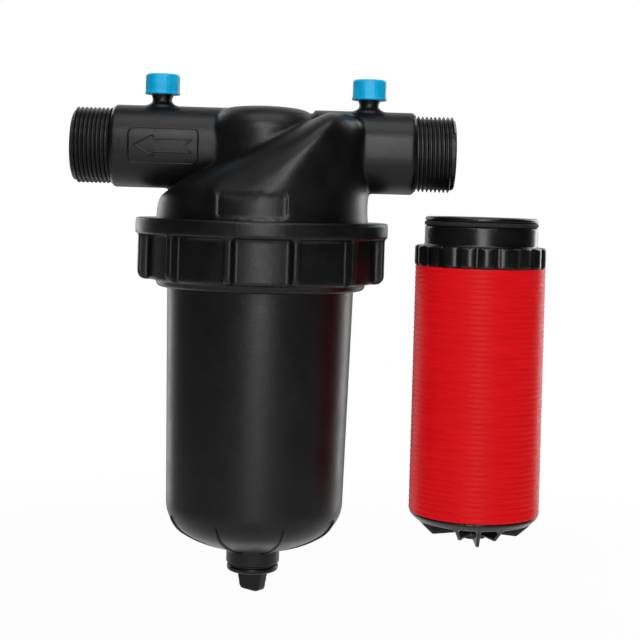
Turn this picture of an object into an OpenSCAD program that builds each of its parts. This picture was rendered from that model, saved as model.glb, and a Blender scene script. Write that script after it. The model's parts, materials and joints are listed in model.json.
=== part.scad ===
// In-line irrigation disc filter: a T-shaped head with a slanted inlet shell, a bowl held on by a
// ribbed lock nut, a drain plug, two capped test points, and the disc cartridge drawn out beside it.
// Millimetres, +Z up. The origin is the centre of the inlet mouth, and the ports run along X.

/* [Ports] */
// Distance from the housing axis to the end of either port
port_reach = 105; // [95:0.5:120]
// Length of the threaded end of a port
thread_length = 22.5; // [15:0.5:26]
// Outside (major) radius of the port thread, which is drawn plain
thread_r = 20.955; // [19:0.005:22]
// Outside radius of the plain pipe behind a thread
pipe_r = 22.75; // [22:0.05:24]
// Radius of the waterway through a port
bore_r = 17.5; // [14:0.1:18]

/* [Head] */
// Outside radius of the upright outlet elbow
riser_r = 33; // [31:0.1:35]
// Height of the elbow's crown over the pipe axis
crown_z = 24.2; // [23.8:0.1:28]
// Radius of the crown's gently domed top
crown_r = 150; // [100:1:200]
// Radius that rounds the crown into the elbow's side
crown_edge_r = 16; // [10:0.5:18]
// Wall of the elbow and of the cartridge socket under it
riser_wall = 4; // [3.5:0.1:5]
// Outside radius of the skirt that the lock nut screws on
skirt_r = 58.5; // [56:0.1:62]
// Wall of the skirt
skirt_wall = 5.3; // [5:0.1:6.5]
// Depth of the skirt's foot below the pipe axis
skirt_z = -60; // [-66:0.5:-58]
// Height of the inlet shell's slanted top over the pipe axis, at the housing axis
shell_z = 2.6; // [0:0.1:6]
// Slope of that slanted top up towards the inlet, in degrees
shell_slope = 27.2; // [22:0.1:31]
// Height of the shell's level end over the pipe axis
shell_end_z = 20.7; // [19.5:0.1:22.5]
// Radius that rolls the slanted top over into the shell's front and back
shell_edge_r = 33; // [22:0.5:36]
// Radius that rolls the level end over into the shell's side
shell_end_r = 12; // [8:0.5:14]
// Wall of the inlet shell
shell_wall = 4.4; // [3:0.1:5]
// Width of the bare panel sunk into the front of the skirt
panel_width = 37; // [20:0.5:44]
// Height of that panel
panel_height = 13; // [8:0.5:14]
// Distance from the housing axis to the panel's middle
panel_x = -3.2; // [-10:0.1:10]
// Depth of that panel
panel_depth = 0.8; // [0.5:0.1:1.2]

/* [Test points] */
// Distance from the housing axis to a test point
test_x = 57.3; // [54:0.1:72]
// Outside radius of the nipple under a cap
nipple_r = 6.6; // [6:0.1:7.5]
// Height of the nipple's end over the pipe axis
nipple_z = 36.2; // [34:0.1:38]
// Radius of the nipple's hole
nipple_bore_r = 2.6; // [1.5:0.1:3.5]
// Outside radius of a test cap
cap_r = 9.6; // [9:0.1:11]
// Height of a test cap
cap_height = 11.3; // [10:0.1:13]
// Thickness of a cap's top
cap_top = 2.8; // [2:0.1:4]
// Thickness of the rubber disc in a cap
seal_thickness = 1.2; // [0.8:0.1:1.6]

/* [Lock nut] */
// Step from the nut's panels out to the band along its top
band_step = 6.2; // [5:0.1:10]
// Height of that band
band_height = 8.9; // [6:0.1:12]
// Depth of the nut's top below the pipe axis
nut_top_z = -38.9; // [-41:0.1:-38.5]
// Wall of the nut over the skirt's thread, up to the panels between the ribs
nut_wall = 4.7; // [4:0.1:7]
// Number of grip ribs
rib_count = 12; // [8:1:18]
// Width of a grip rib
rib_width = 4.2; // [3:0.1:7]
// Step from the band's rim in to the grip ribs
rib_inset = 0.7; // [0.3:0.1:3]
// Angle from the front to the first rib
rib_turn = 18; // [0:1:30]
// Thickness of the lip that holds the bowl up
lip_height = 8.4; // [6:0.1:10]
// Height of the collar that shows below the panels
collar_height = 4.2; // [3:0.1:6]
// Wall of that collar
collar_wall = 5.5; // [4:0.1:7]

/* [Bowl] */
// Thickness of the bowl's flange
flange_height = 8; // [6:0.1:10]
// Outside radius of the bowl just under its flange
bowl_r = 51.6; // [50:0.1:52]
// Draft of the bowl's side, in degrees
bowl_draft = 1.3; // [0.5:0.1:2]
// Wall of the bowl
bowl_wall = 4; // [3:0.1:5]
// Radius of the knuckle between side and bottom
knuckle_r = 19; // [14:0.5:22]
// Depth of the domed bottom
dome_depth = 27.7; // [24:0.1:32]
// Number of stiffening ribs under the bottom
dome_rib_count = 8; // [6:1:12]
// Thickness of a stiffening rib
dome_rib_width = 1.6; // [1.2:0.1:3]
// Height that a rib stands out from the bottom
dome_rib_height = 0.9; // [0.6:0.1:1.5]
// Distance from the bottom's upper edge down to a rib's end
dome_rib_drop = 7.5; // [4:0.5:12]
// Gap between the cartridge's fins and the bowl's bottom
foot_gap = 6.5; // [5:0.1:12]
// Width of the seal ring between bowl and head
ring_width = 2.6; // [2:0.1:2.8]

/* [Drain] */
// Wall of the drain boss
boss_wall = 4.2; // [3.5:0.1:6]
// Length of the drain boss below the bowl's bottom
boss_length = 6.4; // [5:0.1:10]
// Radius of the drain hole
drain_r = 10.5; // [8:0.1:11]
// Step from the boss's rim in to the drain plug's flange
plug_inset = 0.5; // [0.2:0.1:1]
// Thickness of the drain plug's flange
plug_height = 3.2; // [2.5:0.1:5]
// Thickness of the seal under that flange
drain_seal = 1.3; // [0.8:0.1:2]
// Width of the wing
wing_width = 19; // [15:0.5:24]
// Thickness of the wing
wing_thickness = 5.5; // [4:0.1:7]
// Length of the wing below the flange
wing_length = 11.2; // [8:0.1:16]
// Turn of the wing about the axis
wing_turn = -40; // [-90:1:90]

/* [Cartridge] */
// Number of discs
disc_count = 49; // [30:1:60]
// Thickness of one disc
disc_thickness = 2.755; // [2:0.005:3]
// Outside radius of the discs
disc_r = 35.95; // [34:0.05:38]
// Radius of the hole through the discs
disc_bore_r = 26; // [24:0.1:27]
// Wall of the neck that plugs into the head
neck_wall = 5.2; // [4.5:0.1:6.5]
// Height of the neck
neck_height = 16; // [14:0.1:17]
// Height of the grip under the neck
grip_height = 11.4; // [8:0.1:14]
// Step from the discs' rim out to the grip's lobes
grip_step = 0.55; // [0.3:0.05:3]
// Number of lobes round the grip
lobe_count = 20; // [12:1:24]
// Radius of one lobe
lobe_r = 8; // [7:0.1:12]
// Wall of the spine's threaded tube
tube_wall = 4; // [3:0.1:6]
// Step from the discs' rim in to the base plate's rim
base_inset = 0.55; // [0.3:0.05:3]
// Thickness of the base plate
base_height = 4.6; // [3:0.1:7]
// Number of fins under the base plate
fin_count = 8; // [4:1:12]
// Thickness of a fin
fin_width = 2.2; // [1.5:0.1:3.5]
// Height of the fins
fin_height = 7; // [5:0.1:9]
// Height of the two longer fins, front and back, that serve as a grip
wing_height = 10; // [8:0.1:12]
// Number of ribs along the spine
spine_rib_count = 6; // [4:1:8]
// Gap between the lock nut and the cartridge that stands beside it
cartridge_gap = 15.3; // [6:0.1:60]

/* [Hidden] */
$fn = 96;
// Fine steps of a rounded profile, and the overlap that joins two shapes of one moulding
arc_steps = 6;
join = 0.6;
// Running clearances of the screwed fits and of the cartridge in its socket
screw_fit = 0.3;
socket_fit = 0.25;
seat_fit = 0.15;
// Head
shoulder_x = port_reach - thread_length;
skirt_bore_r = skirt_r - skirt_wall;
shell_foot_z = nut_top_z + 0.9;
shell_r = skirt_r - 0.3;
panel_z = nut_top_z + 1.4 + panel_height / 2;
// Radii of the cartridge's top, and the socket for its neck
neck_r = disc_bore_r + neck_wall;
neck_bore_r = disc_bore_r;
grip_r = disc_r + grip_step;
socket_r = neck_r + socket_fit;
socket_floor_z = nut_top_z + 5.4;
socket_mouth_z = socket_floor_z - neck_height + 0.4;
socket_out_r = socket_r + riser_wall - 1.2;
riser_bore_r = riser_r - riser_wall;
// Lock nut, seated under the bowl's flange
nut_bore_r = skirt_r + screw_fit;
panel_r = nut_bore_r + nut_wall;
band_r = panel_r + band_step;
rib_r = band_r - rib_inset;
ledge_z = skirt_z - flange_height;
nut_foot_z = ledge_z - lip_height;
panel_foot_z = nut_foot_z + collar_height;
lip_bore_r = bowl_r + 0.6;
collar_r = lip_bore_r + collar_wall;
cartridge_x = band_r + cartridge_gap + grip_r;
// Bowl, deep enough for the cartridge
neck_top_z = socket_floor_z - 0.4;
grip_top_z = neck_top_z - neck_height;
stack_top_z = grip_top_z - grip_height;
stack_foot_z = stack_top_z - disc_count * disc_thickness;
base_foot_z = stack_foot_z - base_height;
wing_foot_z = base_foot_z - wing_height;
dome_foot_z = wing_foot_z - foot_gap - bowl_wall;
dome_top_z = dome_foot_z + dome_depth;
bowl_foot_r = bowl_r - (ledge_z - dome_top_z) * tan(bowl_draft);
ring_r = (skirt_r + skirt_bore_r) / 2;
ring_depth = 2.2;
boss_r = drain_r + boss_wall;
plug_r = boss_r - plug_inset;
boss_foot_z = dome_foot_z - boss_length;
plug_top_z = boss_foot_z - drain_seal;
plug_foot_z = plug_top_z - plug_height;
shank_r = drain_r - screw_fit;
// Test caps
cap_foot_z = nipple_z + seal_thickness + cap_top - cap_height;
cap_bore_r = nipple_r + screw_fit;
// Cartridge
tube_r = disc_bore_r - screw_fit;
tube_bore_r = tube_r - tube_wall;
tube_top_z = grip_top_z + 2;
neck_ring_r = neck_r - 2.2;
neck_ring_z = neck_top_z - 3.9;
neck_ring_height = 2.6;
base_r = disc_r - base_inset;
base_taper = 3.2;
hub_r = 7.5;

black = [0.11, 0.11, 0.115];
gloss_black = [0.06, 0.06, 0.065];
rubber = [0.14, 0.14, 0.14];
cap_blue = [0.10, 0.62, 0.82];
disc_red = [0.82, 0.09, 0.12];

// One piece to draw, or all of them

// Radius of the shallow arc that runs from a knuckle to the axis at a dome's foot
function dome_arc_r(side, knuckle, depth) =
  (pow(side - knuckle, 2) + pow(depth, 2) - pow(knuckle, 2)) / (2 * (depth - knuckle));

// Points of an arc from one angle to another, in a profile's own plane
function arc(centre, radius, from, to) =
  [for (i = [0:arc_steps]) centre + radius * [cos(from + (to - from) * i / arc_steps),
                                              sin(from + (to - from) * i / arc_steps)]];

// Half outline of a dish with a knuckle and a shallow dome, from its side down to the axis
function dish(side, knuckle, depth, top_z) =
  let (big = dome_arc_r(side, knuckle, depth),
       lean = atan2(big - depth, side - knuckle))
  concat(arc([side - knuckle, top_z], knuckle, 0, -lean),
         arc([0, top_z + big - depth], big, -lean, -90));

// The ports lie on the X axis, so the housing stands back from the inlet mouth
module at_housing() {
  translate([-port_reach, 0, 0]) children();
}

// The cartridge keeps its height and stands beside the bowl
module at_cartridge() {
  translate([cartridge_x - port_reach, 0, 0]) children();
}

module along_x(from, to, r) {
  translate([from, 0, 0]) rotate([0, 90, 0]) cylinder(h = to - from, r = r);
}

module upright(from, to, r) {
  translate([0, 0, from]) cylinder(h = to - from, r = r);
}

// Upright cylinder whose top edge is rolled over
module rolled_cylinder(from, to, r, edge) {
  rotate_extrude()
    polygon(concat([[0, from], [r, from]], arc([r - edge, to - edge], edge, 0, 90), [[0, to]]));
}

// Long bar along the slant, rolled over along its front and back
module slanted_bar(half_width, slant_z, edge) {
  reach = 3 * skirt_r;
  translate([0, 0, slant_z]) rotate([0, -shell_slope, 0]) {
    translate([-reach, edge - half_width, -reach]) cube([2 * reach, 2 * (half_width - edge), reach]);
    translate([-reach, -half_width, -reach]) cube([2 * reach, 2 * half_width, reach - edge]);
    for (side = [-1, 1]) translate([0, side * (half_width - edge), -edge]) along_x(-reach, reach, edge);
  }
}

// Inlet shell: the skirt carried up to the inlet pipe and cut off on a slant
module inlet_shell(r, from, slant_z, end_z, edge, end_edge) {
  intersection() {
    slanted_bar(r + 0.6, slant_z, edge);
    rolled_cylinder(from, end_z, r, end_edge);
  }
}

// Half outline of the elbow's crown, set in from its outside, from the side up to the axis
function crown(inset) =
  let (edge_z = crown_z - crown_r
         + sqrt(pow(crown_r - crown_edge_r, 2) - pow(riser_r - crown_edge_r, 2)),
       lean = atan2(edge_z - crown_z + crown_r, riser_r - crown_edge_r))
  concat(arc([riser_r - crown_edge_r, edge_z], crown_edge_r - inset, 0, lean),
         arc([0, crown_z - crown_r], crown_r - inset, lean, 90));

// Outside of the outlet elbow: an upright cylinder with a crown, on the cartridge's socket
module riser_outside() {
  top_z = socket_floor_z + riser_wall;
  rotate_extrude() polygon(concat(
    [[0, socket_mouth_z], [socket_out_r, socket_mouth_z], [socket_out_r, top_z],
     [riser_r, top_z + abs(socket_out_r - riser_r)]],
    crown(0)));
}

// Waterway inside the elbow, with the cartridge's socket below
module riser_inside() {
  rotate_extrude() polygon(concat(
    [[0, socket_mouth_z - 1], [socket_r, socket_mouth_z - 1], [socket_r, socket_floor_z],
     [neck_bore_r, socket_floor_z], [riser_bore_r, socket_floor_z + abs(riser_bore_r - neck_bore_r)]],
    crown(riser_wall)));
}

// Hollow under the inlet shell, round the elbow and under the outlet pipe
module inlet_chamber() {
  difference() {
    union() {
      inlet_shell(shell_r - skirt_wall - 0.4, shell_foot_z, shell_z - shell_wall / cos(shell_slope),
                  shell_end_z - shell_wall, shell_edge_r - shell_wall, shell_end_r - shell_wall);
      upright(skirt_z - 1, shell_foot_z + 1.2, skirt_bore_r);
    }
    riser_outside();
    along_x(-port_reach, 0, pipe_r);
  }
}

// Hour-glass nipple on top of a port, bored through into the waterway
module nipple() {
  foot_z = bore_r + 2;
  waist_z = pipe_r + 3;
  waist_r = nipple_r - 1.2;
  flare = 2.4;
  rotate_extrude() polygon(concat(
    [[0, foot_z], [waist_r + flare, foot_z], [waist_r + flare, waist_z - flare]],
    arc([waist_r + flare, waist_z], flare, -90, -180),
    [[waist_r, waist_z + 1.4], [nipple_r, cap_foot_z - 0.2], [nipple_r, nipple_z], [0, nipple_z]]));
}

// Shallow bare panel sunk into the front of the skirt, with rounded corners
module skirt_panel() {
  corner = 2;
  wide = panel_width / 2 - corner;
  tall = panel_height / 2 - corner;
  difference() {
    translate([panel_x, -skirt_r + 12, panel_z]) rotate([90, 0, 0]) linear_extrude(16) polygon(concat(
      arc([wide, tall], corner, 0, 90), arc([-wide, tall], corner, 90, 180),
      arc([-wide, -tall], corner, 180, 270), arc([wide, -tall], corner, 270, 360)));
    inlet_shell(shell_r - panel_depth, skirt_z, shell_z - panel_depth / cos(shell_slope), shell_end_z,
                shell_edge_r - panel_depth, shell_end_r);
  }
}

module head() {
  color(black) at_housing() difference() {
    union() {
      along_x(-shoulder_x, 0, pipe_r);
      along_x(-port_reach, -shoulder_x + join, thread_r);
      along_x(riser_r - 6, shoulder_x, pipe_r);
      along_x(shoulder_x - join, port_reach, thread_r);
      riser_outside();
      inlet_shell(shell_r, shell_foot_z, shell_z, shell_end_z, shell_edge_r, shell_end_r);
      upright(skirt_z, shell_foot_z + 1, skirt_r);
      for (side = [-1, 1]) translate([side * test_x, 0, 0]) nipple();
    }
    inlet_chamber();
    riser_inside();
    along_x(-port_reach - 1, 0, bore_r);
    along_x(riser_r + 1, port_reach + 1, bore_r);
    skirt_panel();
    for (side = [-1, 1]) translate([side * test_x, 0, 0]) upright(0, nipple_z + 1, nipple_bore_r);
  }
}

// One grip rib, standing on a panel from the band down to the nut's rounded foot
module grip_rib() {
  foot_round = 4.5;
  translate([0, rib_width / 2, 0]) rotate([90, 0, 0]) linear_extrude(rib_width) polygon(concat(
    [[panel_r - 2, nut_top_z - band_height / 2], [rib_r, nut_top_z - band_height / 2]],
    arc([rib_r - foot_round, panel_foot_z + foot_round], foot_round, 0, -90),
    [[panel_r - 2, panel_foot_z]]));
}

module lock_nut() {
  edge = 1.2;
  collar_edge = 2.4;
  color(black) at_housing() {
    rotate_extrude() polygon(concat(
      [[nut_bore_r, nut_top_z]],
      arc([band_r - edge, nut_top_z - edge], edge, 90, 0),
      arc([band_r - edge, nut_top_z - band_height + edge], edge, 0, -90),
      [[panel_r, nut_top_z - band_height]],
      arc([panel_r - edge, panel_foot_z + edge], edge, 0, -90),
      [[collar_r, panel_foot_z]],
      arc([collar_r - collar_edge, nut_foot_z + collar_edge], collar_edge, 0, -90),
      [[lip_bore_r, nut_foot_z], [lip_bore_r, ledge_z], [nut_bore_r, ledge_z]]));
    for (i = [0:rib_count - 1])
      rotate([0, 0, rib_turn - 90 + i * 360 / rib_count]) grip_rib();
  }
}

// Thin rib that follows the bowl's bottom from its knuckle to the drain boss
module dome_rib() {
  sunk = 1.5;
  translate([0, dome_rib_width / 2, 0]) rotate([90, 0, 0]) linear_extrude(dome_rib_width)
    intersection() {
      difference() {
        polygon(concat([[0, dome_top_z]],
                       dish(bowl_foot_r + dome_rib_height, knuckle_r + dome_rib_height,
                            dome_depth + dome_rib_height, dome_top_z)));
        polygon(concat([[0, dome_top_z + 1]],
                       dish(bowl_foot_r - sunk, knuckle_r - sunk, dome_depth - sunk, dome_top_z)));
      }
      translate([boss_r - 2, dome_foot_z - 2 * dome_rib_height])
        square([bowl_foot_r, dome_depth - dome_rib_drop + 2 * dome_rib_height]);
    }
}

module bowl() {
  inner_r = bowl_r - bowl_wall;
  color(black) at_housing() difference() {
    union() {
      rotate_extrude() polygon(concat(
        [[0, skirt_z], [skirt_r, skirt_z], [skirt_r, ledge_z], [bowl_r, ledge_z]],
        dish(bowl_foot_r, knuckle_r, dome_depth, dome_top_z)));
      upright(boss_foot_z, dome_foot_z + bowl_wall, boss_r);
      for (i = [0:dome_rib_count - 1]) rotate([0, 0, (i + 0.5) * 360 / dome_rib_count]) dome_rib();
    }
    rotate_extrude() polygon(concat(
      [[0, skirt_z + 1], [inner_r, skirt_z + 1], [inner_r, ledge_z]],
      dish(bowl_foot_r - bowl_wall, knuckle_r - bowl_wall, dome_depth - bowl_wall, dome_top_z)));
    upright(boss_foot_z - 1, dome_top_z, drain_r);
    ring_groove();
  }
}

module ring_groove() {
  half = ring_width / 2 + seat_fit;
  rotate_extrude() translate([ring_r - half, skirt_z - ring_depth]) square([2 * half, ring_depth + 1]);
}

// Seal ring squeezed flat against what it seals: a band with rounded inner and outer walls
module seal_ring(mid_r, width, foot_z, height) {
  bulge = min(width, height) / 2 - 0.05;
  rotate_extrude() polygon(concat(
    arc([mid_r + width / 2 - bulge, foot_z + bulge], bulge, -90, 0),
    arc([mid_r + width / 2 - bulge, foot_z + height - bulge], bulge, 0, 90),
    arc([mid_r - width / 2 + bulge, foot_z + height - bulge], bulge, 90, 180),
    arc([mid_r - width / 2 + bulge, foot_z + bulge], bulge, 180, 270)));
}

module bowl_oring() {
  color(rubber) at_housing() seal_ring(ring_r, ring_width, skirt_z - ring_depth, ring_depth);
}

module drain_oring() {
  color(rubber) at_housing()
    seal_ring((drain_r + plug_r) / 2, plug_r - drain_r - 0.6, plug_top_z, drain_seal);
}

module drain_plug() {
  edge = 1.4;
  corner = 3;
  lean = 2;
  wing_foot_z = plug_foot_z - wing_length;
  color(black) at_housing() {
    rotate_extrude() polygon(concat(
      [[0, dome_foot_z + bowl_wall - 1], [shank_r, dome_foot_z + bowl_wall - 1], [shank_r, plug_top_z],
       [plug_r, plug_top_z]],
      arc([plug_r - edge, plug_foot_z + edge], edge, 0, -90),
      [[0, plug_foot_z]]));
    rotate([90, 0, wing_turn]) translate([0, 0, -wing_thickness / 2]) linear_extrude(wing_thickness)
      polygon(concat(
        [[-wing_width / 2, plug_foot_z + 1], [wing_width / 2, plug_foot_z + 1]],
        arc([wing_width / 2 - lean - corner, wing_foot_z + corner], corner, 0, -90),
        arc([-wing_width / 2 + lean + corner, wing_foot_z + corner], corner, -90, -180)));
  }
}

// Eight-sided screw cap with a flange at its foot
module test_cap() {
  foot = 1.3;
  edge = 1.1;
  top_z = cap_foot_z + cap_height;
  difference() {
    union() {
      upright(cap_foot_z, cap_foot_z + foot, cap_r + 0.1);
      intersection() {
        rotate([0, 0, 22.5]) upright(cap_foot_z, top_z, (cap_r - 0.35) / cos(22.5), $fn = 8);
        rotate_extrude() polygon([[0, cap_foot_z], [cap_r, cap_foot_z], [cap_r, top_z - edge],
                                  [cap_r - edge, top_z], [0, top_z]]);
      }
    }
    upright(cap_foot_z - 1, top_z - cap_top, cap_bore_r);
  }
}

module cap_seal() {
  upright(nipple_z, nipple_z + seal_thickness, nipple_r - 0.2);
}

module outlet_test_cap() {
  color(cap_blue) at_housing() translate([-test_x, 0, 0]) test_cap();
}

module inlet_test_cap() {
  color(cap_blue) at_housing() translate([test_x, 0, 0]) test_cap();
}

module outlet_cap_seal() {
  color(rubber) at_housing() translate([-test_x, 0, 0]) cap_seal();
}

module inlet_cap_seal() {
  color(rubber) at_housing() translate([test_x, 0, 0]) cap_seal();
}

// Fin under the base plate, cut back so that it clears the bowl's bottom
module base_fin(height) {
  root_r = base_r - base_taper - 0.6;
  setback = 6.6;
  foot_z = base_foot_z - height;
  translate([0, fin_width / 2, 0]) rotate([90, 0, 0]) linear_extrude(fin_width)
    polygon([[hub_r - 1.5, base_foot_z + join], [root_r, base_foot_z + join], [root_r, base_foot_z - 1],
             [root_r - setback, foot_z], [hub_r - 1.5, foot_z]]);
}

module cartridge_spine() {
  ring_height = 5;
  tube_foot_z = stack_top_z - 10;
  rib_depth = tube_wall + 1.5;
  color(black) at_cartridge() {
    difference() {
      upright(tube_foot_z, tube_top_z, tube_r);
      upright(tube_foot_z - 1, tube_top_z + 1, tube_bore_r);
    }
    difference() {
      upright((stack_top_z + stack_foot_z) / 2, (stack_top_z + stack_foot_z) / 2 + ring_height, tube_r - 0.5);
      upright(stack_foot_z, stack_top_z, tube_bore_r);
    }
    for (i = [0:spine_rib_count - 1]) rotate([0, 0, (i + 0.5) * 360 / spine_rib_count])
      translate([tube_r - rib_depth, -1.5, stack_foot_z - join])
        cube([rib_depth - 0.3, 3, tube_foot_z - stack_foot_z + 2]);
    rotate_extrude() polygon([[0, base_foot_z], [base_r - base_taper, base_foot_z],
                              [base_r, stack_foot_z - 1.4], [base_r, stack_foot_z], [0, stack_foot_z]]);
    upright(wing_foot_z, base_foot_z + join, hub_r);
    for (i = [0:fin_count - 1]) rotate([0, 0, (i + 0.5) * 360 / fin_count]) base_fin(fin_height);
    for (side = [-1, 1]) rotate([0, 0, side * 90]) base_fin(wing_height);
  }
}

// Flat ring with a bevelled rim
module filter_disc() {
  bevel = 0.45;
  rotate_extrude() polygon([
    [disc_bore_r, 0], [disc_r - bevel, 0], [disc_r, bevel], [disc_r, disc_thickness - bevel],
    [disc_r - bevel, disc_thickness], [disc_bore_r, disc_thickness]]);
}

module filter_discs() {
  color(disc_red) at_cartridge()
    for (i = [0:disc_count - 1]) translate([0, 0, stack_foot_z + i * disc_thickness]) filter_disc();
}

// Outline of the grip: convex lobes side by side round the circle
function lobe_outline() =
  [for (k = [0:lobe_count - 1]) for (i = [0:arc_steps - 1])
    let (off = (i / arc_steps - 0.5) * 360 / lobe_count,
         centre = grip_r - lobe_r,
         reach = centre * cos(off) + sqrt(pow(lobe_r, 2) - pow(centre * sin(off), 2)))
    reach * [cos(k * 360 / lobe_count + off), sin(k * 360 / lobe_count + off)]];

module cartridge_top() {
  edge = 1;
  groove = neck_ring_height / 2 + seat_fit;
  color(gloss_black) at_cartridge() difference() {
    union() {
      intersection() {
        translate([0, 0, stack_top_z]) linear_extrude(grip_height) polygon(lobe_outline());
        rotate_extrude() polygon([
          [0, stack_top_z], [grip_r - edge, stack_top_z], [grip_r + 0.5, stack_top_z + edge + 0.5],
          [grip_r + 0.5, grip_top_z - edge - 0.5], [grip_r - edge, grip_top_z], [0, grip_top_z]]);
      }
      rotate_extrude() polygon([
        [0, grip_top_z - join], [neck_r, grip_top_z - join], [neck_r, neck_top_z - edge],
        [neck_r - edge, neck_top_z], [0, neck_top_z]]);
    }
    upright(stack_top_z - 1, neck_top_z + 1, neck_bore_r);
    difference() {
      upright(neck_ring_z - groove, neck_ring_z + groove, neck_r + 1);
      upright(neck_ring_z - groove - 1, neck_ring_z + groove + 1, neck_ring_r);
    }
  }
}

module neck_oring() {
  width = neck_r - neck_ring_r + 0.2;
  color(rubber) at_cartridge()
    seal_ring(neck_ring_r + 0.05 + width / 2, width, neck_ring_z - neck_ring_height / 2, neck_ring_height);
}

head();
lock_nut();
bowl();
bowl_oring();
drain_plug();
drain_oring();
outlet_test_cap();
outlet_cap_seal();
inlet_test_cap();
inlet_cap_seal();
cartridge_spine();
filter_discs();
cartridge_top();
neck_oring();
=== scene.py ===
"""Studio scene of an in-line irrigation disc filter, with its disc cartridge drawn out beside it.

Every length below is in millimetres unless its name says otherwise. The origin is the centre of the
inlet mouth, the ports run along X and the bowl hangs down along Z.
"""

from __future__ import annotations

import json
import logging
import math
import random
from collections.abc import Callable, Iterable, Sequence
from dataclasses import dataclass, field
from enum import Enum
from typing import Any

import bmesh
import bpy
from mathutils import Matrix, Vector

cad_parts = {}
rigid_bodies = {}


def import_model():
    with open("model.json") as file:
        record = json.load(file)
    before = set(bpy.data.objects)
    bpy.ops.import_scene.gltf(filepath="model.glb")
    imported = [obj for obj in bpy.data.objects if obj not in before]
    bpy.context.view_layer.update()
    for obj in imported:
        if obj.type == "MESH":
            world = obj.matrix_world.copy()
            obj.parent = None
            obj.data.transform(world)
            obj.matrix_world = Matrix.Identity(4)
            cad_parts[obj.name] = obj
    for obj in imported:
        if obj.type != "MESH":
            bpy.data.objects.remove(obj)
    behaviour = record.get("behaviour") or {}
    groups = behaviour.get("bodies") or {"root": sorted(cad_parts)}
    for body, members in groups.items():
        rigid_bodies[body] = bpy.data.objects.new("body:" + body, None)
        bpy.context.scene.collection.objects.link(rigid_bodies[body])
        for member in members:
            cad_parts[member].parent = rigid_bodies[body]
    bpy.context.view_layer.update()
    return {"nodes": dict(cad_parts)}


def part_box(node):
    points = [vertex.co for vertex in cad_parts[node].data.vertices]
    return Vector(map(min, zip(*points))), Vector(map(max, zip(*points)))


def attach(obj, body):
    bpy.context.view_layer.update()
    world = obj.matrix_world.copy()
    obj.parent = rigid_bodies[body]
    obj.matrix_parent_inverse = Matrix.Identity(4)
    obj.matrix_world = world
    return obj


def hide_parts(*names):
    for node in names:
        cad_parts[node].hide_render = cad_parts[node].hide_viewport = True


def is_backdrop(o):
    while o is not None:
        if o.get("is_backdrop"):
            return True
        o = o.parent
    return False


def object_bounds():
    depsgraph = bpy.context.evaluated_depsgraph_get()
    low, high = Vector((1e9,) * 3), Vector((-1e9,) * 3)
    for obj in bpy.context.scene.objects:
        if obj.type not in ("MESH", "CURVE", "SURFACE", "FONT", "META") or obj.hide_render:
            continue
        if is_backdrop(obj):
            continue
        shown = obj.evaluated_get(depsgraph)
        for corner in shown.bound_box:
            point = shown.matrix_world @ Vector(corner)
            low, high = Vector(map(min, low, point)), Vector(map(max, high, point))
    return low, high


LOG = logging.getLogger("disc_filter")
MM = 0.001
IMAGE_PX = 640
MERGE_MM = 0.002
WEIGHT_GROUP = "share"
WHITE = (1.0, 1.0, 1.0, 1.0)
# The Mix node's colour sockets share their names with its other sockets, so they go by number.
MIX_FIRST, MIX_SECOND, MIX_RESULT = 6, 7, 2
Profile = list[tuple[float, float]]
Place = tuple[float, float, float]


class Body(Enum):
    """The moving bodies that a piece can ride on."""

    HEAD = "head"
    BOWL = "bowl"
    LOCK_NUT = "lock_nut"
    DRAIN_PLUG = "drain_plug"
    OUTLET_CAP = "outlet_test_cap"
    INLET_CAP = "inlet_test_cap"
    CARTRIDGE_TOP = "cartridge_top"


class Slot(Enum):
    """The record's material slots, listed beside each moulding but not set on any piece."""

    BLACK = "black_plastic"
    GLOSS = "gloss_black_plastic"
    BLUE = "cap_blue_plastic"
    RED = "disc_red_plastic"


def linear(hex_colour: str) -> tuple[float, float, float, float]:
    """Turns an sRGB hex colour into linear RGBA.

    Args:
        hex_colour: Six hex digits, with or without a leading hash.

    Returns:
        The colour in linear light, with an alpha of 1.
    """
    digits = hex_colour.lstrip("#")
    channels = [int(digits[i : i + 2], 16) / 255 for i in (0, 2, 4)]
    red, green, blue = (c / 12.92 if c <= 0.04045 else ((c + 0.055) / 1.055) ** 2.4 for c in channels)
    return red, green, blue, 1.0


class NodeGraph:
    """A material's or a world's node tree, with one call that adds a node."""

    def __init__(self, tree: bpy.types.NodeTree) -> None:
        """Empties the tree."""
        self.tree = tree
        tree.nodes.clear()

    def add(self, kind: str, inputs: dict[str | int, Any] | None = None, **settings: Any) -> bpy.types.Node:
        """Adds a node.

        Args:
            kind: The node's type name.
            inputs: Values, or sockets to link from, by input name or number.
            **settings: The node's own properties.

        Returns:
            The new node.
        """
        node = self.tree.nodes.new(kind)
        for key, value in settings.items():
            setattr(node, key, value)
        for key, value in (inputs or {}).items():
            if isinstance(value, bpy.types.NodeSocket):
                self.tree.links.new(value, node.inputs[key])
            else:
                node.inputs[key].default_value = value
        return node


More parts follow.
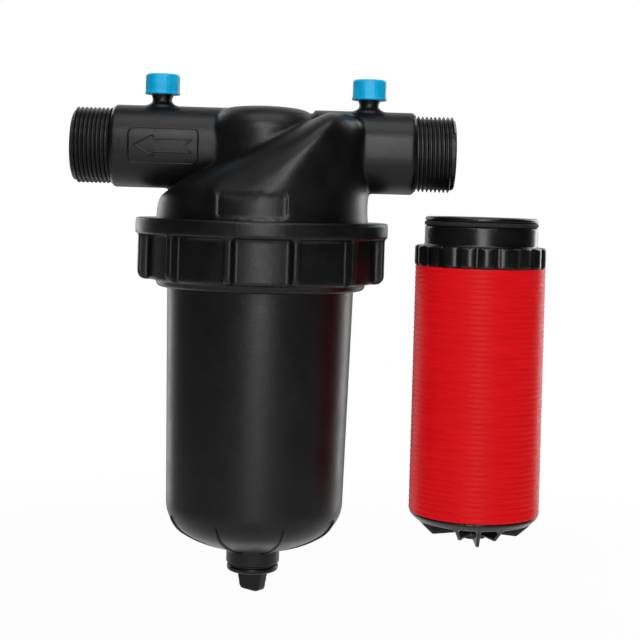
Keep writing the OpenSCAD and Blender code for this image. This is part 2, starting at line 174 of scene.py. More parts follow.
@dataclass(frozen=True)
class MouldedPlastic:
    """Injection-moulded plastic: an even colour, a faint flow mottle and a fine spark-eroded grain.

    The grain scatters the edge of each highlight, and the mottle breaks up large flat areas. Chalk
    is the dry scatter of a dull surface, which stays bright towards its edges.
    """

    name: str
    hex_colour: str
    hex_mottle: str
    roughness: float
    roughness_spread: float
    specular: float
    mottle_mm: float = 14.0
    grain_mm: float = 0.55
    grain_depth_mm: float = 0.02
    stretch: Place = (1.0, 1.0, 1.0)
    chalk: float = 0.0

    def material(self) -> bpy.types.Material:
        """Builds the material once and hands it out again by name.

        Returns:
            The material.
        """
        found = bpy.data.materials.get(self.name)
        if found:
            return found
        material = bpy.data.materials.new(self.name)
        material.use_nodes = True
        material.diffuse_color = linear(self.hex_colour)
        graph = NodeGraph(material.node_tree)
        place = graph.add("ShaderNodeTexCoord").outputs["Object"]
        flow = graph.add("ShaderNodeMapping", {"Vector": place, "Scale": self.stretch}).outputs["Vector"]
        mottle = graph.add(
            "ShaderNodeTexNoise",
            {"Vector": flow, "Scale": 1 / (self.mottle_mm * MM), "Detail": 4.0, "Roughness": 0.6},
        ).outputs["Fac"]
        grain = graph.add(
            "ShaderNodeTexNoise",
            {"Vector": place, "Scale": 1 / (self.grain_mm * MM), "Detail": 2.0},
        ).outputs["Fac"]
        tone = graph.add(
            "ShaderNodeMapRange",
            {"Value": mottle, "From Min": 0.35, "From Max": 0.65},
            interpolation_type="SMOOTHSTEP",
        ).outputs["Result"]
        colour = graph.add(
            "ShaderNodeMix",
            {"Factor": tone, MIX_FIRST: linear(self.hex_colour), MIX_SECOND: linear(self.hex_mottle)},
            data_type="RGBA",
        ).outputs[MIX_RESULT]
        sheen = graph.add(
            "ShaderNodeMapRange",
            {
                "Value": mottle,
                "From Min": 0.3,
                "From Max": 0.7,
                "To Min": self.roughness - self.roughness_spread,
                "To Max": self.roughness + self.roughness_spread,
            },
        ).outputs["Result"]
        bump = graph.add(
            "ShaderNodeBump",
            {"Height": grain, "Strength": 1.0, "Distance": self.grain_depth_mm * MM},
        ).outputs["Normal"]
        shader = graph.add(
            "ShaderNodeBsdfPrincipled",
            {
                "Base Color": colour,
                "Roughness": sheen,
                "Specular IOR Level": self.specular,
                "Diffuse Roughness": self.chalk,
                "Normal": bump,
            },
        )
        graph.add("ShaderNodeOutputMaterial", {"Surface": shader.outputs["BSDF"]})
        return material


# Glass-filled polypropylene off a fine spark-eroded mould: deep black with a soft, wide grey highlight.
# Its real grain is too fine to show, so it is drawn coarser.
HOUSING_BLACK = MouldedPlastic(
    name="Moulded glass-filled polypropylene black",
    hex_colour="#0B0B0C",
    hex_mottle="#0F0F11",
    roughness=0.35,
    roughness_spread=0.05,
    specular=0.27,
    grain_mm=0.8,
    grain_depth_mm=0.07,
)
# Polypropylene off a polished mould: the same black with a tighter, brighter highlight.
CARTRIDGE_BLACK = MouldedPlastic(
    name="Moulded polypropylene gloss black",
    hex_colour="#0B0B0C",
    hex_mottle="#111113",
    roughness=0.26,
    roughness_spread=0.04,
    specular=0.34,
    grain_depth_mm=0.008,
)
# Moulded ABS: saturated sky blue, a little paler in small patches.
CAP_BLUE = MouldedPlastic(
    name="Moulded ABS sky blue",
    hex_colour="#0A9ACA",
    hex_mottle="#14A6D4",
    roughness=0.38,
    roughness_spread=0.06,
    specular=0.22,
    mottle_mm=5.0,
    grain_depth_mm=0.012,
)
# Stacked polypropylene discs: dull signal red, with a mottle drawn out along the discs.
DISC_RED = MouldedPlastic(
    name="Moulded polypropylene signal red",
    hex_colour="#CC0D15",
    hex_mottle="#D01118",
    roughness=0.4,
    roughness_spread=0.03,
    specular=0.07,
    mottle_mm=9.0,
    stretch=(0.25, 0.25, 3.2),
    chalk=0.6,
)
# Nitrile rubber: dead matt charcoal.
SEAL_RUBBER = MouldedPlastic(
    name="Nitrile rubber charcoal",
    hex_colour="#161616",
    hex_mottle="#1F1F1F",
    roughness=0.72,
    roughness_spread=0.06,
    specular=0.3,
    mottle_mm=4.0,
    grain_mm=0.3,
)


def ramp(value: float, low: float, high: float) -> float:
    """Rises from 0 at a low value to 1 at a high one."""
    return min(1.0, max(0.0, (value - low) / (high - low)))


def arc(centre: tuple[float, float], radius: float, start: float, end: float, steps: int) -> Profile:
    """Gives the points of an arc in a profile's own plane.

    Args:
        centre: The arc's centre.
        radius: Its radius.
        start: The angle of its first point, in degrees.
        end: The angle of its last point, in degrees.
        steps: The number of chords.

    Returns:
        The points, from start to end.
    """
    turns = [math.radians(start + (end - start) * i / steps) for i in range(steps + 1)]
    return [(centre[0] + radius * math.cos(t), centre[1] + radius * math.sin(t)) for t in turns]


def axis_of(node: str) -> float:
    """Tells where along X the middle of a CAD node lies."""
    low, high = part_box(node)
    return (low.x + high.x) / 2 / MM


def finish_piece(
    bm: bmesh.types.BMesh, name: str, body: Body, finish: MouldedPlastic, crease_deg: float = 40.0
) -> bpy.types.Object:
    """Makes a finished mesh into a piece that rides on a body.

    Args:
        bm: The mesh, in metres, in the row frame. It is freed.
        name: The piece's name.
        body: The body that it rides on.
        finish: What it is made of.
        crease_deg: Edges sharper than this stay crisp.

    Returns:
        The new object.
    """
    mesh = bpy.data.meshes.new(name)
    bm.to_mesh(mesh)
    bm.free()
    mesh.shade_smooth()
    mesh.set_sharp_from_angle(angle=math.radians(crease_deg))
    mesh.materials.append(finish.material())
    piece = bpy.data.objects.new(name, mesh)
    bpy.context.scene.collection.objects.link(piece)
    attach(piece, body.value)
    LOG.info("%s: %d faces on %s", name, len(mesh.polygons), body.value)
    return piece


def merge_doubles(bm: bmesh.types.BMesh) -> None:
    """Merges the points of a mesh that lie on each other."""
    bmesh.ops.remove_doubles(bm, verts=bm.verts, dist=MERGE_MM * MM)


def lathe(profile: Sequence[tuple[float, float]], axis_x: float, steps: int) -> bmesh.types.BMesh:
    """Turns a closed profile of (radius, height) points about an upright axis.

    Args:
        profile: The outline, in millimetres, in order round the section.
        axis_x: Where the axis stands along X, in millimetres.
        steps: The number of steps round the circle.

    Returns:
        A closed mesh in metres.
    """
    bm = bmesh.new()
    verts = [bm.verts.new(((axis_x + r) * MM, 0.0, z * MM)) for r, z in profile]
    edges = [bm.edges.new((a, b)) for a, b in zip(verts, verts[1:] + verts[:1])]
    bmesh.ops.spin(
        bm,
        geom=verts + edges,
        cent=(axis_x * MM, 0.0, 0.0),
        axis=(0.0, 0.0, 1.0),
        angle=math.tau,
        steps=steps,
        use_merge=True,
    )
    merge_doubles(bm)
    bmesh.ops.recalc_face_normals(bm, faces=bm.faces)
    return bm


def read_back(blank: bpy.types.Object) -> bmesh.types.BMesh:
    """Takes a working object's mesh, as its modifiers or its bevel leave it, and removes the object.

    Args:
        blank: The working object, not yet in the scene.

    Returns:
        The mesh.
    """
    bpy.context.scene.collection.objects.link(blank)
    mesh = bpy.data.meshes.new_from_object(blank.evaluated_get(bpy.context.evaluated_depsgraph_get()))
    bm = bmesh.new()
    bm.from_mesh(mesh)
    bpy.data.batch_remove([blank, blank.data, mesh])
    return bm


def modified(
    bm: bmesh.types.BMesh,
    steps: Sequence[tuple[str, dict[str, object]]],
    weight: Callable[[Vector], float] | None = None,
) -> bmesh.types.BMesh:
    """Runs modifiers over a mesh, which it uses up.

    Args:
        bm: The mesh, in metres.
        steps: The modifiers in order, each a type and its settings.
        weight: How much of a weighted modifier each point takes, if one of them asks for it.

    Returns:
        The changed mesh.
    """
    if weight:
        layer = bm.verts.layers.deform.verify()
        for vert in bm.verts:
            vert[layer][0] = weight(vert.co)
    mesh = bpy.data.meshes.new("blank")
    bm.to_mesh(mesh)
    bm.free()
    blank = bpy.data.objects.new("blank", mesh)
    blank.vertex_groups.new(name=WEIGHT_GROUP)
    for kind, settings in steps:
        modifier = blank.modifiers.new(kind.title(), kind)
        for key, value in settings.items():
            setattr(modifier, key, value)
    return read_back(blank)


def moulded_copy(node: bpy.types.Object, voxel_mm: float, passes: int) -> bmesh.types.BMesh:
    """Copies a CAD node with the rounded edges and corners of a moulding.

    Args:
        node: The CAD node's object, which stays as it is.
        voxel_mm: The grain of the new surface, about the radius that an edge gets.
        passes: How often the new surface is smoothed.

    Returns:
        The rounded mesh, in metres.
    """
    bm = bmesh.new()
    bm.from_mesh(node.data)
    merge_doubles(bm)
    skin = ("REMESH", {"mode": "VOXEL", "voxel_size": voxel_mm * MM})
    rounding = ("SMOOTH", {"factor": 0.5, "iterations": passes})
    return modified(bm, [skin, rounding])


def join_into(bm: bmesh.types.BMesh, other: bmesh.types.BMesh) -> None:
    """Adds another mesh to a mesh.

    Args:
        bm: The mesh that grows.
        other: The mesh that is added. It is freed.
    """
    mesh = bpy.data.meshes.new("joined")
    other.to_mesh(mesh)
    other.free()
    bm.from_mesh(mesh)
    bpy.data.meshes.remove(mesh)


@dataclass
class PipeThread:
    """A male parallel pipe thread on the end of a port.

    The tooth is one pitch of the thread, as shares of its pitch and depth. The ridge grows out of the
    tube at its start, and its mouth end is chamfered.
    """

    reach: float
    axis_x: float
    length: float
    crest_r: float = 20.955
    pitch: float = 2.309
    depth: float = 1.48
    bore_r: float = 17.5
    edge: float = 0.7
    lap: float = 2.0
    tube_steps: int = 96
    steps_per_turn: int = 72
    run_out: float = 0.2
    start_delay: float = 0.3
    start_slope: float = 1.2
    chamfer_sink: float = 0.05
    chamfer_slope: float = 1.1
    mouth_gap: float = 0.02
    tooth: tuple[tuple[float, float], ...] = (
        (0.0, -0.1),
        (0.13, 0.0),
        (0.2, 0.1),
        (0.4, 0.92),
        (0.46, 1.0),
        (0.54, 1.0),
        (0.6, 0.92),
        (0.8, 0.1),
        (0.87, 0.0),
        (1.0, -0.1),
    )

    @property
    def root_r(self) -> float:
        """Gives the radius at the foot of the tooth."""
        return self.crest_r - self.depth

    def build(self, flip: bool) -> bmesh.types.BMesh:
        """Cuts the thread on a tube that ends at the port's mouth.

        Args:
            flip: True for the port on the far side, turned half round the upright axis.

        Returns:
            The threaded tube in metres.
        """
        bm = self._tube()
        join_into(bm, self._ridge())
        if flip:
            bmesh.ops.rotate(bm, verts=bm.verts, cent=(0, 0, 0), matrix=Matrix.Rotation(math.pi, 3, "Z"))
        bmesh.ops.translate(bm, verts=bm.verts, vec=(self.axis_x * MM, 0, 0))
        return bm

    def _tube(self) -> bmesh.types.BMesh:
        """Turns the plain tube under the thread.

        Returns:
            The tube, about the X axis.
        """
        back = self.reach - self.length - self.lap
        outline = [
            (back, self.bore_r),
            (self.reach - self.edge, self.bore_r),
            (self.reach, self.bore_r + self.edge),
            (self.reach, self.root_r - self.edge),
            (self.reach - self.edge, self.root_r),
            (back, self.root_r),
        ]
        return self._spin(outline, math.tau, self.tube_steps, 0.0, closed=True)

    def _ridge(self) -> bmesh.types.BMesh:
        """Winds the tooth along the port, then fades its start and chamfers its end.

        Returns:
            The ridge, about the X axis.
        """
        start = self.reach - self.length - self.pitch * 0.5
        outline = [(start + u * self.pitch, self.root_r + h * self.depth) for u, h in self.tooth]
        turns = (self.length - self.run_out) / self.pitch - 0.5
        steps = round(turns * self.steps_per_turn)
        angle = math.tau * steps / self.steps_per_turn
        bm = self._spin(outline, angle, steps, self.pitch / self.steps_per_turn)
        for vert in bm.verts:
            along = vert.co.x / MM
            radius = math.hypot(vert.co.y, vert.co.z) / MM
            grown = self.root_r + max(0.0, along - start - self.start_delay) * self.start_slope
            chamfered = self.root_r + (self.reach - along) * self.chamfer_slope - self.chamfer_sink
            limit = min(self.root_r + self.depth, chamfered, grown)
            if radius > limit > 0:
                vert.co.y *= limit / radius
                vert.co.z *= limit / radius
            vert.co.x = min(vert.co.x, (self.reach - self.mouth_gap) * MM)
        bmesh.ops.recalc_face_normals(bm, faces=bm.faces)
        return bm

    @staticmethod
    def _spin(
        outline: Sequence[tuple[float, float]], angle: float, steps: int, advance: float, closed: bool = False
    ) -> bmesh.types.BMesh:
        """Turns an outline about X, moving it along by a step each time.

        Args:
            outline: Points of (x, radius), in millimetres.
            angle: The whole turn, in radians.
            steps: The number of steps in it.
            advance: How far each step moves along X, in millimetres.
            closed: True for a ring with a closed section.

        Returns:
            The turned mesh in metres.
        """
        bm = bmesh.new()
        verts = [bm.verts.new((x * MM, 0.0, r * MM)) for x, r in outline]
        ends = verts[1:] + verts[:1] if closed else verts[1:]
        edges = [bm.edges.new(pair) for pair in zip(verts, ends)]
        bmesh.ops.spin(
            bm,
            geom=verts + edges,
            cent=(0, 0, 0),
            axis=(1, 0, 0),
            dvec=(advance * MM, 0, 0),
            angle=angle,
            steps=steps,
            use_merge=closed,
        )
        if closed:
            merge_doubles(bm)
            bmesh.ops.recalc_face_normals(bm, faces=bm.faces)
        return bm


@dataclass
class FlowMark:
    """Raised outline of a panel with a plain arrow on it, moulded on the front of the outlet pipe."""

    axis_x: float
    pipe_r: float
    left: float = -72.6
    right: float = -34.9
    half_height: float = 9.5
    corner: float = 3.2
    corner_steps: int = 6
    arrow_margin: float = 3.0
    arrow_head: float = 10.5
    arrow_half: float = 5.8
    shaft_half: float = 3.5
    tail_notch: float = 4.5
    bead_r: float = 0.5
    bead_sink: float = 0.12
    point_gap: float = 1.2

    def build(self) -> bmesh.types.BMesh:
        """Lays both outlines on the pipe as half-sunk beads.

        Returns:
            The beads as one mesh, in metres.
        """
        bm = bmesh.new()
        for outline in (self._panel(), self._arrow()):
            join_into(bm, self._bead(outline))
        return bm

    def _panel(self) -> Profile:
        """Gives the rounded rectangle.

        Returns:
            Its points, as distance along the pipe and height.
        """
        points: Profile = []
        right, left = self.right - self.corner, self.left + self.corner
        high = self.half_height - self.corner
        for turn, centre in enumerate(((right, high), (left, high), (left, -high), (right, -high))):
            points += arc(centre, self.corner, turn * 90, turn * 90 + 90, self.corner_steps)
        return points

    def _arrow(self) -> Profile:
        """Gives an arrow that points out of the port, with a swallow tail.

        Returns:
            Its points, as distance along the pipe and height.
        """
        tip, tail = self.left + self.arrow_margin, self.right - self.arrow_margin
        barb = tip + self.arrow_head
        upper = [(tip, 0.0), (barb, self.arrow_half), (barb, self.shaft_half), (tail, self.shaft_half)]
        lower = [(x, -z) for x, z in reversed(upper[1:])]
        return upper + [(tail - self.tail_notch, 0.0)] + lower

    def _bead(self, outline: Profile) -> bmesh.types.BMesh:
        """Runs a round bead along a closed outline laid on the pipe.

        Args:
            outline: Points of distance along the pipe and height.

        Returns:
            The bead in metres.
        """
        curve = bpy.data.curves.new("bead", "CURVE")
        curve.dimensions = "3D"
        curve.bevel_depth = self.bead_r * MM
        curve.bevel_resolution = 2
        dense = self._resample(outline)
        spline = curve.splines.new("POLY")
        spline.points.add(len(dense) - 1)
        spline.use_cyclic_u = True
        for point, (x, z) in zip(spline.points, dense):
            y = -math.sqrt(self.pipe_r**2 - z**2) + self.bead_sink
            point.co = ((self.axis_x + x) * MM, y * MM, z * MM, 1.0)
        return read_back(bpy.data.objects.new("bead", curve))

    def _resample(self, outline: Profile) -> Profile:
        """Puts points about a gap apart along a closed outline, so that it can bend round the pipe.

        Args:
            outline: The corners.

        Returns:
            The corners with points between them.
        """
        dense: Profile = []
        for (x0, z0), (x1, z1) in zip(outline, outline[1:] + outline[:1]):
            parts = max(1, round(math.hypot(x1 - x0, z1 - z0) / self.point_gap))
            dense += [(x0 + (x1 - x0) * i / parts, z0 + (z1 - z0) * i / parts) for i in range(parts)]
        return dense


@dataclass
class Head:
    """The head: ports, outlet elbow, slanted inlet shell and skirt in one moulding.

    The broad faces of the inlet shell are smoothed further than the rest. The smoothing fades out
    towards the elbow, the pipes, the sunk panel and the skirt.
    """

    nodes: dict[str, bpy.types.Object]
    voxel_mm: float = 0.8
    passes: int = 10
    shell_passes: int = 300
    keep: float = 0.42
    crease_deg: float = 60.0
    thread_length: float = 22.5
    thread_lap: float = 0.7
    elbow_r: float = 33.0
    elbow_fade: tuple[float, float] = (3.0, 7.0)
    pipe_r: float = 22.75
    pipe_fade: tuple[float, float] = (1.0, 5.0)
    panel_reach: float = 24.0
    panel_top: float = -23.0
    skirt_top: float = -35.0
    foot_fade: float = 3.0

    def build(self) -> None:
        """Makes the casting, its threaded ends and the flow mark, and dresses them."""
        low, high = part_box("head")
        axis_x = axis_of("head")
        reach = (high.x - low.x) / 2 / MM
        casting = modified(
            moulded_copy(self.nodes["head"], self.voxel_mm, self.passes),
            [
                ("SMOOTH", {"factor": 0.5, "iterations": self.shell_passes, "vertex_group": WEIGHT_GROUP}),
                ("DECIMATE", {"ratio": self.keep}),
            ],
            lambda place: self._shell_share(place.x / MM - axis_x, place.y / MM, place.z / MM),
        )
        cut = reach - self.thread_length + self.thread_lap
        for side in (-1, 1):
            bmesh.ops.bisect_plane(
                casting,
                geom=casting.verts[:] + casting.edges[:] + casting.faces[:],
                plane_co=((axis_x + side * cut) * MM, 0, 0),
                plane_no=(side, 0, 0),
                clear_outer=True,
            )
        piece = finish_piece(casting, "head_casting", Body.HEAD, HOUSING_BLACK, self.crease_deg)
        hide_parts("head")
        thread = PipeThread(reach, axis_x, self.thread_length)
        finish_piece(thread.build(False), "inlet_thread", Body.HEAD, HOUSING_BLACK)
        finish_piece(thread.build(True), "outlet_thread", Body.HEAD, HOUSING_BLACK)
        mark = FlowMark(axis_x, self.pipe_r)
        finish_piece(mark.build(), "flow_mark", Body.HEAD, HOUSING_BLACK)

    def _shell_share(self, x: float, y: float, z: float) -> float:
        """Tells how far a point lies on the inlet shell, clear of the elbow, the pipes and the sunk panel.

        Args:
            x: Distance from the housing axis along the ports.
            y: Distance from the housing axis to the back.
            z: Height over the ports' axis.

        Returns:
            1 on the shell's broad faces, down to 0 at the creases that stay crisp.
        """
        elbow_low, elbow_high = self.elbow_fade
        pipe_low, pipe_high = self.pipe_fade
        clear_of_elbow = ramp(math.hypot(x, y), self.elbow_r + elbow_low, self.elbow_r + elbow_high)
        clear_of_pipes = ramp(math.hypot(y, min(z, 0)), self.pipe_r + pipe_low, self.pipe_r + pipe_high)
        foot = self.panel_top if abs(x) < self.panel_reach else self.skirt_top
        return clear_of_elbow * clear_of_pipes * ramp(z, foot, foot + self.foot_fade)


@dataclass
class Bowl:
    """The bowl: a drafted cup with a flange, a domed bottom, stiffening ribs and a drain boss."""

    flange_r: float = 58.5
    flange_height: float = 8.0
    flange_edge: float = 0.4
    neck_r: float = 1.0
    side_r: float = 51.6
    side_parts: int = 8
    draft_deg: float = 1.3
    wall: float = 4.0
    knuckle_r: float = 19.0
    dome_depth: float = 27.7
    boss_r: float = 14.7
    boss_length: float = 6.4
    boss_blend_r: float = 1.6
    boss_edge_r: float = 0.8
    drain_r: float = 10.5
    drain_edge: float = 0.5
    groove_in: float = 54.4
    groove_out: float = 57.3
    groove_depth: float = 2.2
    rib_count: int = 8
    rib_width: float = 1.6
    rib_height: float = 0.9
    rib_drop: float = 7.5
    rib_edge_r: float = 0.5
    rib_lap: float = 1.0
    rib_root: tuple[float, float] = (-0.6, 3.0)
    steps: int = 192
    knuckle_steps: int = 18
    crown_steps: int = 26
    edge_steps: int = 4
    crease_deg: float = 35.0
    axis_x: float = field(init=False)
    top: float = field(init=False)
    ledge: float = field(init=False)
    foot: float = field(init=False)
    knee: float = field(init=False)
    foot_r: float = field(init=False)

    def __post_init__(self) -> None:
        """Takes the bowl's place and heights from the CAD."""
        low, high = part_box("bowl")
        self.axis_x = axis_of("bowl")
        self.top = high.z / MM
        self.ledge = self.top - self.flange_height
        self.foot = low.z / MM + self.boss_length
        self.knee = self.foot + self.dome_depth
        self.foot_r = self.side_r - (self.ledge - self.knee) * math.tan(math.radians(self.draft_deg))

    def build(self) -> None:
        """Turns the cup and sets the ribs under it."""
        bm = lathe(self._section(), self.axis_x, self.steps)
        for i in range(self.rib_count):
            join_into(bm, self._rib((i + 0.5) * math.tau / self.rib_count))
        piece = finish_piece(bm, "bowl_cup", Body.BOWL, HOUSING_BLACK, self.crease_deg)
        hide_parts("bowl")

    def _dish(self, offset: float) -> Profile:
        """Gives the half outline of the bottom, a knuckle that runs into a flatter crown.

        Args:
            offset: How far the outline lies outside the cup's own.

        Returns:
            Points of (radius, height), from the side in towards the axis.
        """
        knuckle, depth = self.knuckle_r + offset, self.dome_depth + offset
        centre_r = self.foot_r + offset - knuckle
        crown = (centre_r**2 + depth**2 - knuckle**2) / (2 * (depth - knuckle))
        lean = math.degrees(math.atan2(crown - depth, centre_r))
        side = arc((centre_r, self.knee), knuckle, 0, -lean, self.knuckle_steps)
        bottom = arc((0, self.knee + crown - depth), crown, -lean, -90, self.crown_steps)
        return side + bottom[1:]

    def _section(self) -> Profile:
        """Gives the whole section of the cup.

        Returns:
            Points of (radius, height), from the flange's rim down, in and up again.
        """
        top, ledge, rim = self.top, self.ledge, self.flange_r
        edge, neck, drop = self.flange_edge, self.neck_r, 2 * self.neck_r
        boss_foot, blend, round_r = self.foot - self.boss_length, self.boss_blend_r, self.boss_edge_r
        outside = [p for p in self._dish(0.0) if p[0] > self.boss_r + blend]
        inside = [p for p in self._dish(-self.wall) if p[0] > self.drain_r + self.drain_edge]
        section: Profile = [(rim, top - edge), (rim, ledge + edge), (rim - edge, ledge)]
        section += arc((self.side_r + neck, ledge - neck), neck, 90, 180, self.edge_steps)
        for i in range(1, self.side_parts):
            radius = self.side_r + (self.foot_r - self.side_r) * i / self.side_parts
            section.append((radius, ledge - drop + (self.knee - ledge + drop) * i / self.side_parts))
        section += outside
        section += arc((self.boss_r + blend, outside[-1][1] - blend), blend, 90, 180, self.edge_steps)[1:]
        section += arc((self.boss_r - round_r, boss_foot + round_r), round_r, 0, -90, self.edge_steps)
        section += [(self.drain_r, boss_foot), (self.drain_r, inside[-1][1])]
        section += reversed(inside)
        section += [(self.side_r - self.wall, ledge), (self.side_r - self.wall, top), (self.groove_in, top)]
        section += [(self.groove_in, top - self.groove_depth), (self.groove_out, top - self.groove_depth)]
        return section + [(self.groove_out, top), (rim - edge, top)]

    def _rib(self, turn: float) -> bmesh.types.BMesh:
        """Makes one thin rib that follows the bottom from the knuckle to the boss.

        Args:
            turn: Where it stands round the axis, in radians.

        Returns:
            The rib in metres.
        """
        highest = self.knee - self.rib_drop
        nearest = self.boss_r - self.rib_lap
        outline = [p for p in self._dish(self.rib_height) if p[0] > nearest and p[1] < highest]
        inner = [(r + self.rib_root[0], z + self.rib_root[1]) for r, z in outline]
        bm = bmesh.new()
        verts = [bm.verts.new((r * MM, -self.rib_width / 2 * MM, z * MM)) for r, z in outline + inner[::-1]]
        face = bm.faces.new(verts)
        grown = bmesh.ops.extrude_face_region(bm, geom=[face])["geom"]
        far_side = [v for v in grown if isinstance(v, bmesh.types.BMVert)]
        bmesh.ops.translate(bm, verts=far_side, vec=(0, self.rib_width * MM, 0))
        bmesh.ops.recalc_face_normals(bm, faces=bm.faces)
        bmesh.ops.bevel(
            bm,
            geom=[e for e in bm.edges if abs(e.verts[0].co.y - e.verts[1].co.y) < 1e-7],
            offset=self.rib_edge_r * MM,
            segments=3,
            profile=0.5,
            affect="EDGES",
            material=-1,
        )
        bmesh.ops.rotate(bm, verts=bm.verts, cent=(0, 0, 0), matrix=Matrix.Rotation(turn, 3, "Z"))
        bmesh.ops.translate(bm, verts=bm.verts, vec=(self.axis_x * MM, 0, 0))
        return bm


@dataclass
class DiscStack:
    """The clamped stack of filter discs, seen as fine rings round the cartridge.

    Each disc's edge swells between its faces. The stations are the heights, as shares of a disc, at
    which the swell is drawn.
    """

    disc_count: int = 49
    bore_r: float = 26.0
    swell: float = 0.3
    wobble: float = 0.05
    stations: tuple[float, ...] = (0.02, 0.1, 0.22, 0.38, 0.62, 0.78, 0.9, 0.98)
    seed: int = 7
    steps: int = 112
    crease_deg: float = 25.0

    def build(self) -> None:
        """Turns all discs as one ringed tube, each disc a hair off its neighbours' size."""
        low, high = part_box("filter_discs")
        rim = (high.x - low.x) / 2 / MM
        foot, top = low.z / MM, high.z / MM
        pitch = (high.z - low.z) / MM / self.disc_count
        chance = random.Random(self.seed)
        section: Profile = [(self.bore_r, foot)]
        for i in range(self.disc_count):
            edge = rim - chance.random() * self.wobble
            for share in self.stations:
                section.append((edge - self.swell * (2 * share - 1) ** 2, foot + (i + share) * pitch))
        section += [(rim - self.swell, top), (self.bore_r, top)]
        bm = lathe(section, axis_of("filter_discs"), self.steps)
        piece = finish_piece(bm, "filter_disc_stack", Body.HEAD, DISC_RED, self.crease_deg)
        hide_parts("filter_discs")


@dataclass(frozen=True)
class Moulding:
    """A smaller moulding that keeps its CAD form and gets rounded edges."""

    node: str
    piece: str
    body: Body
    slot: Slot
    finish: MouldedPlastic
    voxel_mm: float
    passes: int
    crease_deg: float = 60.0

    def build(self, nodes: dict[str, bpy.types.Object]) -> None:
        """Makes the rounded piece in place of its CAD node.

        Args:
            nodes: The CAD nodes by name.
        """
        bm = moulded_copy(nodes[self.node], self.voxel_mm, self.passes)
        piece = finish_piece(bm, self.piece, self.body, self.finish, self.crease_deg)
        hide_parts(self.node)


MOULDINGS = (
    Moulding("lock_nut", "lock_nut_ring", Body.LOCK_NUT, Slot.BLACK, HOUSING_BLACK, 0.85, 5),
    Moulding("drain_plug", "drain_plug_wing", Body.DRAIN_PLUG, Slot.BLACK, HOUSING_BLACK, 0.45, 5),
    Moulding("outlet_test_cap", "outlet_cap_shell", Body.OUTLET_CAP, Slot.BLUE, CAP_BLUE, 0.36, 4),
    Moulding("inlet_test_cap", "inlet_cap_shell", Body.INLET_CAP, Slot.BLUE, CAP_BLUE, 0.36, 4),
    Moulding(
        "cartridge_top", "cartridge_neck_and_grip", Body.CARTRIDGE_TOP, Slot.GLOSS, CARTRIDGE_BLACK, 0.6, 5
    ),
    Moulding("cartridge_spine", "cartridge_spine_and_fins", Body.HEAD, Slot.GLOSS, CARTRIDGE_BLACK, 0.75, 4),
)
SEALS = ("bowl_oring", "drain_oring", "outlet_cap_seal", "inlet_cap_seal", "neck_oring")


@dataclass(frozen=True)
class SoftBox:
    """A rectangular soft box. Its place and its aim are counted from the housing's axis."""

    name: str
    place: Place
    aim: Place
    size: tuple[float, float]
    watts: float

    def hang(self, axis_x: float) -> None:
        """Hangs the box.

        Args:
            axis_x: Where the housing's axis stands along X.
        """
        lamp = bpy.data.lights.new(self.name, "AREA")
        lamp.shape = "RECTANGLE"
        lamp.size, lamp.size_y = (length * MM for length in self.size)
        lamp.energy = self.watts
        box = bpy.data.objects.new(self.name, lamp)
        bpy.context.scene.collection.objects.link(box)
        place, aim = self._metres(axis_x, self.place), self._metres(axis_x, self.aim)
        turn = (aim - place).to_track_quat("-Z", "Y").to_matrix().to_4x4()
        box.matrix_world = Matrix.Translation(place) @ turn

    @staticmethod
    def _metres(axis_x: float, offset: Place) -> Vector:
        """Turns a place counted from the axis into metres in the row frame."""
        return Vector((axis_x + offset[0], offset[1], offset[2])) * MM


SOFT_BOXES = (
    SoftBox("front_box", (60, -1150, 160), (30, 0, -110), (360, 1000), 7.8),
    SoftBox("upper_box", (40, -760, 640), (0, 0, 0), (700, 170), 3.8),
    SoftBox("top_box", (40, -200, 900), (0, 0, 0), (900, 600), 4.2),
    SoftBox("left_rim", (-520, 680, 40), (30, 0, -110), (260, 1100), 2.0),
    SoftBox("right_rim", (680, 680, 40), (30, 0, -110), (260, 1100), 3.6),
)


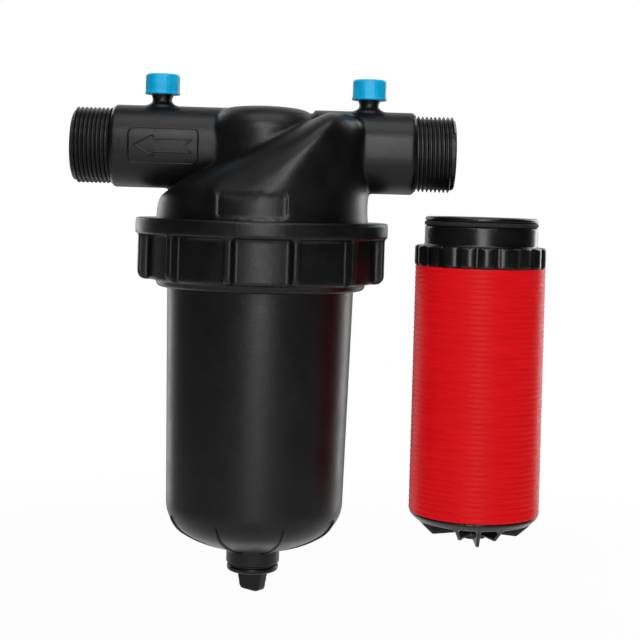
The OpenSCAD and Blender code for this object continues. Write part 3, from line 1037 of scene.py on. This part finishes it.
@dataclass
class Studio:
    """Floor, white surround, soft boxes and the camera."""

    axis_x: float
    camera_right: float = 35.2
    camera_back: float = 780.0
    eye_z: float = -28.0
    roll_deg: float = 1.66
    focal_px: float = 1407.0
    principal_px: tuple[float, float] = (326.4, 202.2)
    fill: float = 0.015
    backdrop: float = 0.8
    floor_drop: float = 170.0
    floor_half_m: float = 6.0
    floor_centre_y_m: float = 0.3
    floor_white: float = 0.94
    fade_range_m: tuple[float, float] = (0.3, 1.0)
    glossy_range_m: tuple[float, float] = (0.3, 0.55)
    wall_range: tuple[float, float] = (0.2, 0.9)

    def build(self) -> None:
        """Sets the stage."""
        bpy.context.scene.view_settings.view_transform = "Standard"
        self._camera()
        self._world()
        self._floor()
        for box in SOFT_BOXES:
            box.hang(self.axis_x)

    def _camera(self) -> None:
        """Stands the camera in front, level, with a slight roll and a shifted lens."""
        lens = bpy.data.cameras.new("camera")
        lens.sensor_width = 36.0
        lens.lens = self.focal_px / IMAGE_PX * lens.sensor_width
        lens.shift_x = (IMAGE_PX / 2 - self.principal_px[0]) / IMAGE_PX
        lens.shift_y = (self.principal_px[1] - IMAGE_PX / 2) / IMAGE_PX
        lens.clip_start = 0.05
        lens.clip_end = 20.0
        camera = bpy.data.objects.new("camera", lens)
        bpy.context.scene.collection.objects.link(camera)
        level = Matrix.Rotation(math.radians(90), 4, "X")
        roll = Matrix.Rotation(math.radians(self.roll_deg), 4, "Z")
        place = Vector((self.axis_x + self.camera_right, -self.camera_back, self.eye_z)) * MM
        camera.matrix_world = Matrix.Translation(place) @ (level @ roll)
        bpy.context.scene.camera = camera

    def _world(self) -> None:
        """Gives a white surround to the camera, and a dim room with a white wall at the back to the rest."""
        world = bpy.data.worlds.new("surround")
        world.use_nodes = True
        graph = NodeGraph(world.node_tree)
        towards = graph.add("ShaderNodeTexCoord").outputs["Generated"]
        depth = graph.add("ShaderNodeSeparateXYZ", {"Vector": towards}).outputs["Y"]
        wall = graph.add(
            "ShaderNodeMapRange",
            {
                "Value": depth,
                "From Min": self.wall_range[0],
                "From Max": self.wall_range[1],
                "To Min": self.fill,
                "To Max": self.backdrop,
            },
            interpolation_type="SMOOTHSTEP",
        ).outputs["Result"]
        seen = graph.add("ShaderNodeLightPath").outputs["Is Camera Ray"]
        room = graph.add("ShaderNodeBackground", {"Color": WHITE, "Strength": wall}).outputs["Background"]
        white = graph.add("ShaderNodeBackground", {"Color": WHITE, "Strength": 1.0}).outputs["Background"]
        mixed = graph.add("ShaderNodeMixShader", {"Fac": seen, 1: room, 2: white})
        graph.add("ShaderNodeOutputWorld", {"Surface": mixed.outputs["Shader"]})
        bpy.context.scene.world = world

    def _floor(self) -> None:
        """Lays a wide pale floor well below the hanging filter, which takes its shadow and fades to white."""
        bm = bmesh.new()
        bmesh.ops.create_grid(bm, x_segments=1, y_segments=1, size=self.floor_half_m)
        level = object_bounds()[0][2] - self.floor_drop * MM
        bmesh.ops.translate(bm, verts=bm.verts, vec=(0, 0, level))
        mesh = bpy.data.meshes.new("studio_floor")
        bm.to_mesh(mesh)
        bm.free()
        mesh.materials.append(self._paper(level))
        floor = bpy.data.objects.new("studio_floor", mesh)
        bpy.context.scene.collection.objects.link(floor)
        floor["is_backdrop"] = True

    def _paper(self, level: float) -> bpy.types.Material:
        """Makes the floor's white paper.

        The camera sees it nearly white, with a faint shadow under the object. Glossy surfaces see it
        white only below the object.

        Args:
            level: The floor's height in metres.

        Returns:
            The material.
        """
        material = bpy.data.materials.new("Studio paper white")
        material.use_nodes = True
        graph = NodeGraph(material.node_tree)
        path = graph.add("ShaderNodeLightPath").outputs
        paper = graph.add("ShaderNodeBsdfDiffuse", {"Color": linear("#F4F4F4")}).outputs["BSDF"]
        glow = graph.add("ShaderNodeEmission", {"Color": WHITE, "Strength": 1.0}).outputs["Emission"]
        place = graph.add("ShaderNodeTexCoord").outputs["Object"]
        centre = (self.axis_x * MM, self.floor_centre_y_m, level)
        away = graph.add("ShaderNodeVectorMath", {0: place, 1: centre}, operation="DISTANCE").outputs["Value"]
        fade = graph.add(
            "ShaderNodeMapRange",
            {
                "Value": away,
                "From Min": self.fade_range_m[0],
                "From Max": self.fade_range_m[1],
                "To Min": self.floor_white,
                "To Max": 1.0,
            },
            interpolation_type="SMOOTHSTEP",
        ).outputs["Result"]
        near = graph.add(
            "ShaderNodeMapRange",
            {
                "Value": away,
                "From Min": self.glossy_range_m[0],
                "From Max": self.glossy_range_m[1],
                "To Min": 1.0,
                "To Max": 0.0,
            },
            interpolation_type="SMOOTHSTEP",
        ).outputs["Result"]
        seen = graph.add("ShaderNodeMath", {0: path["Is Camera Ray"], 1: fade}, operation="MULTIPLY")
        shine = graph.add("ShaderNodeMath", {0: path["Is Glossy Ray"], 1: near}, operation="MULTIPLY")
        white = graph.add(
            "ShaderNodeMath",
            {0: seen.outputs["Value"], 1: shine.outputs["Value"]},
            operation="MAXIMUM",
        )
        mixed = graph.add("ShaderNodeMixShader", {"Fac": white.outputs["Value"], 1: paper, 2: glow})
        graph.add("ShaderNodeOutputMaterial", {"Surface": mixed.outputs["Shader"]})
        return material


def dress_seals(nodes: dict[str, bpy.types.Object], names: Iterable[str]) -> None:
    """Gives the seals, which keep their CAD form, their rubber.

    Args:
        nodes: The CAD nodes by name.
        names: The nodes that are seals.
    """
    for name in names:
        mesh = nodes[name].data
        mesh.materials.clear()
        mesh.materials.append(SEAL_RUBBER.material())
        LOG.info("%s: dressed as rubber", name)


def main() -> None:
    """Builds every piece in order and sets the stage."""
    logging.basicConfig(level=logging.INFO, format="%(name)s %(message)s")
    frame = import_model()
    nodes = frame["nodes"]
    Studio(axis_of("head")).build()
    Head(nodes).build()
    Bowl().build()
    DiscStack().build()
    for moulding in MOULDINGS:
        moulding.build(nodes)
    dress_seals(nodes, SEALS)


if __name__ == "__main__":
    main()
